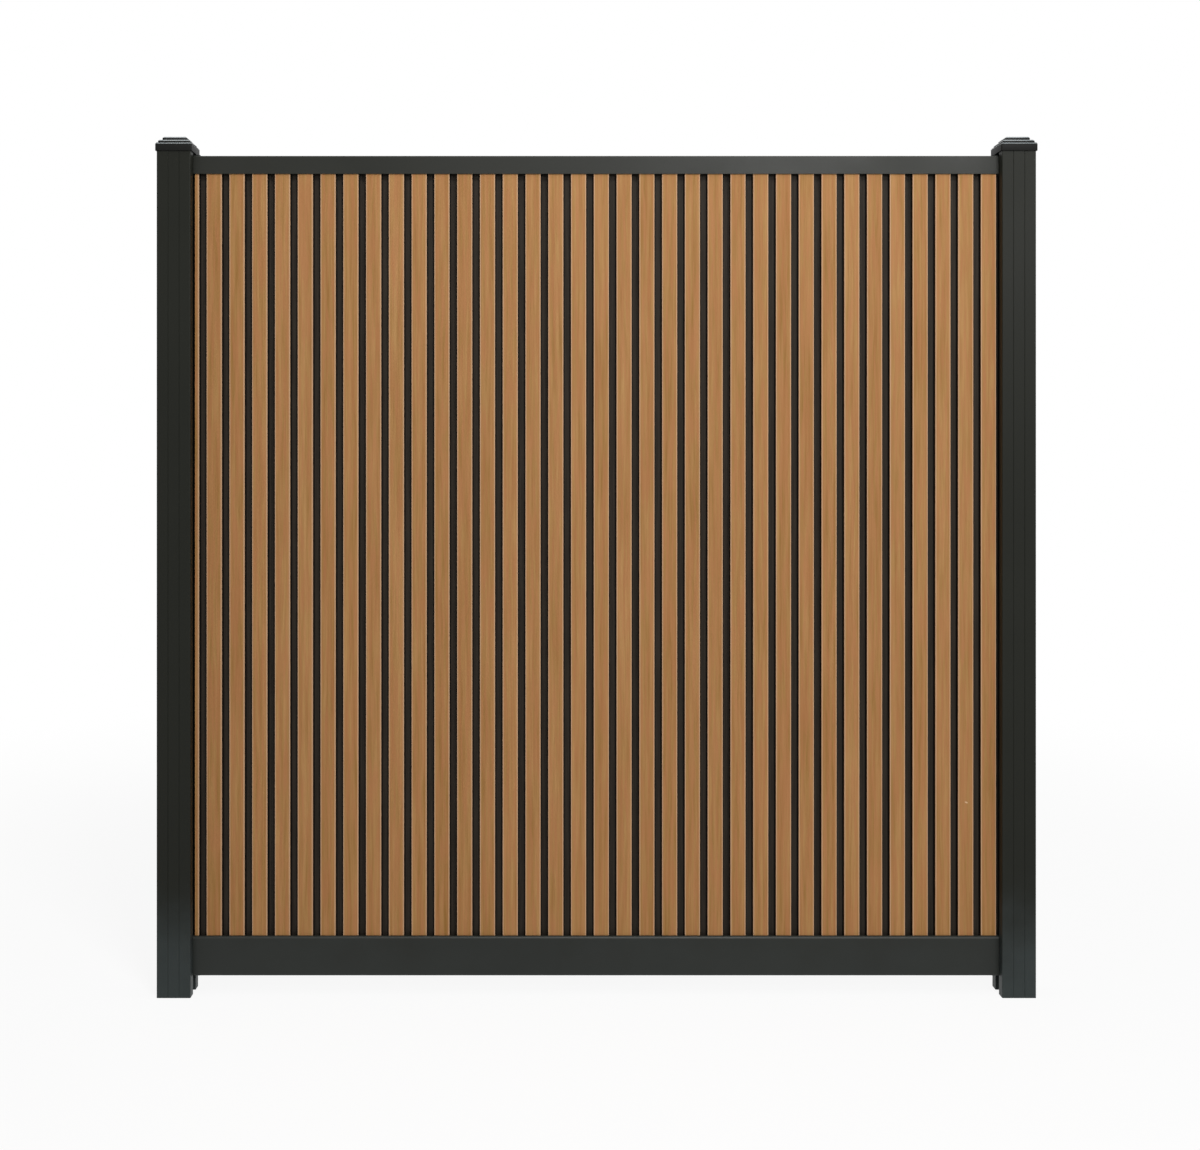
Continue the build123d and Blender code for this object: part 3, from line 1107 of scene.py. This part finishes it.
@dataclass
class Studio:
    """Pale floor, soft light from overhead and from the upper right, and the camera at the photograph's place."""

    image_width: float = 1200.0
    image_height: float = 1150.0
    camera_place: Triple = (-0.1136, -3.355, 1.2565)
    vanishing_x: float = 545.0
    vanishing_y: float = 430.0
    lens: float = 45.0
    sensor: float = 36.0
    near_clip: float = 0.05
    far_clip: float = 100.0
    floor_reach: float = 30.0
    floor_colour: Colour = (0.86, 0.86, 0.86, 1.0)
    floor_mottle: Colour = (0.84, 0.84, 0.84, 1.0)
    floor_mottle_scale: float = 3.0
    floor_roughness: float = 0.9
    floor_specular: float = 0.1
    near_floor: float = 1.2
    far_floor: float = 4.0
    near_whiteness: float = 0.9
    fill: float = 0.13
    softboxes: tuple[Softbox, ...] = (
        Softbox("key_softbox", place=(0.7, -3.0, 4.6), aim=(0.0, 0.0, 1.0), size=(1.0, 0.8), power=112.0),
        Softbox("side_softbox", place=(1.5, -4.2, 2.9), aim=(0.0, 0.0, 1.2), size=(1.6, 1.0), power=68.0),
        Softbox("overhead_softbox", place=(0.0, 0.0, 4.0), aim=(0.0, 0.0, 0.0), size=(3.6, 2.1), power=56.0))

    def build(self) -> None:
        """Set up the floor, the light, the surroundings and the camera."""
        bpy.context.scene.view_settings.view_transform = "Standard"
        self._floor()
        for softbox in self.softboxes:
            softbox.hang()
        self._surroundings()
        self._camera()

    def _floor(self) -> None:
        """Lay a pale floor that is white to the camera but keeps a soft shadow near the object."""
        select_only()
        bpy.ops.mesh.primitive_plane_add(size=self.floor_reach, location=(0.0, 0.0, 0.0))
        floor = bpy.context.object
        floor.name = "studio_floor"
        material, surface, shader = new_material("pale_floor")
        place = surface.place()
        mottle = surface.noise(place, self.floor_mottle_scale)
        surface.feed(shader, {"Base Color": surface.mix(mottle, self.floor_colour, self.floor_mottle),
                              "Roughness": self.floor_roughness, "Specular IOR Level": self.floor_specular})
        distance = surface.add("ShaderNodeVectorMath", {0: place}, operation="LENGTH").outputs["Value"]
        whiteness = surface.ramp(distance, self.near_floor, self.far_floor, self.near_whiteness, 1.0)
        white = surface.add("ShaderNodeEmission").outputs["Emission"]
        share = surface.math(Operation.MULTIPLY, whiteness, self._shown(surface))
        blend = surface.add("ShaderNodeMixShader", {0: share, 1: shader.outputs["BSDF"], 2: white})
        surface.feed(surface.find("OUTPUT_MATERIAL"), {"Surface": blend.outputs["Shader"]})
        floor.data.materials.append(material)
        LOG.info("%s is laid", floor.name)

    def _surroundings(self) -> None:
        """Surround the object with white that lights it at the fill's level."""
        world = bpy.data.worlds.new("studio_surroundings")
        bpy.context.scene.world = world
        world.use_nodes = True
        surface = Surface(world.node_tree)
        strength = surface.ramp(self._shown(surface), 0.0, 1.0, self.fill, 1.0)
        surface.feed(surface.find("BACKGROUND"), {"Color": WHITE, "Strength": strength})

    @staticmethod
    def _shown(surface: Surface) -> Socket:
        """Tell the rays that show the white surroundings from the ones that only light the object.

        Args:
            surface: Where the nodes go.

        Returns:
            A value of 1 for what the camera sees, by itself or in a reflection, and else 0.
        """
        path = surface.add("ShaderNodeLightPath")
        shown = surface.math(Operation.MAXIMUM, path.outputs["Is Camera Ray"], path.outputs["Is Glossy Ray"])
        return surface.math(Operation.MAXIMUM, shown, path.outputs["Is Transmission Ray"])

    def _camera(self) -> None:
        """Look level along +Y, shifted so that the uprights stay parallel as in the photograph."""
        data = bpy.data.cameras.new("photo_camera")
        data.lens = self.lens
        data.sensor_width = self.sensor
        data.sensor_fit = "HORIZONTAL"
        data.shift_x = (self.image_width / 2 - self.vanishing_x) / self.image_width
        data.shift_y = (self.vanishing_y - self.image_height / 2) / self.image_width
        data.clip_start = self.near_clip
        data.clip_end = self.far_clip
        camera = bpy.data.objects.new("photo_camera", data)
        bpy.context.scene.collection.objects.link(camera)
        camera.location = self.camera_place
        camera.rotation_euler = (math.pi / 2, 0.0, 0.0)
        bpy.context.scene.camera = camera
        LOG.info("%s stands at %s", camera.name, self.camera_place)


def main() -> None:
    """Dress the boards and the frame, and set the studio."""
    logging.basicConfig(level=logging.INFO, format="%(name)s: %(message)s")
    for assembly in (BoardField(), Framework(), Studio()):
        assembly.build()
        LOG.info("%s is built", type(assembly).__name__)


if __name__ == "__main__":
    main()
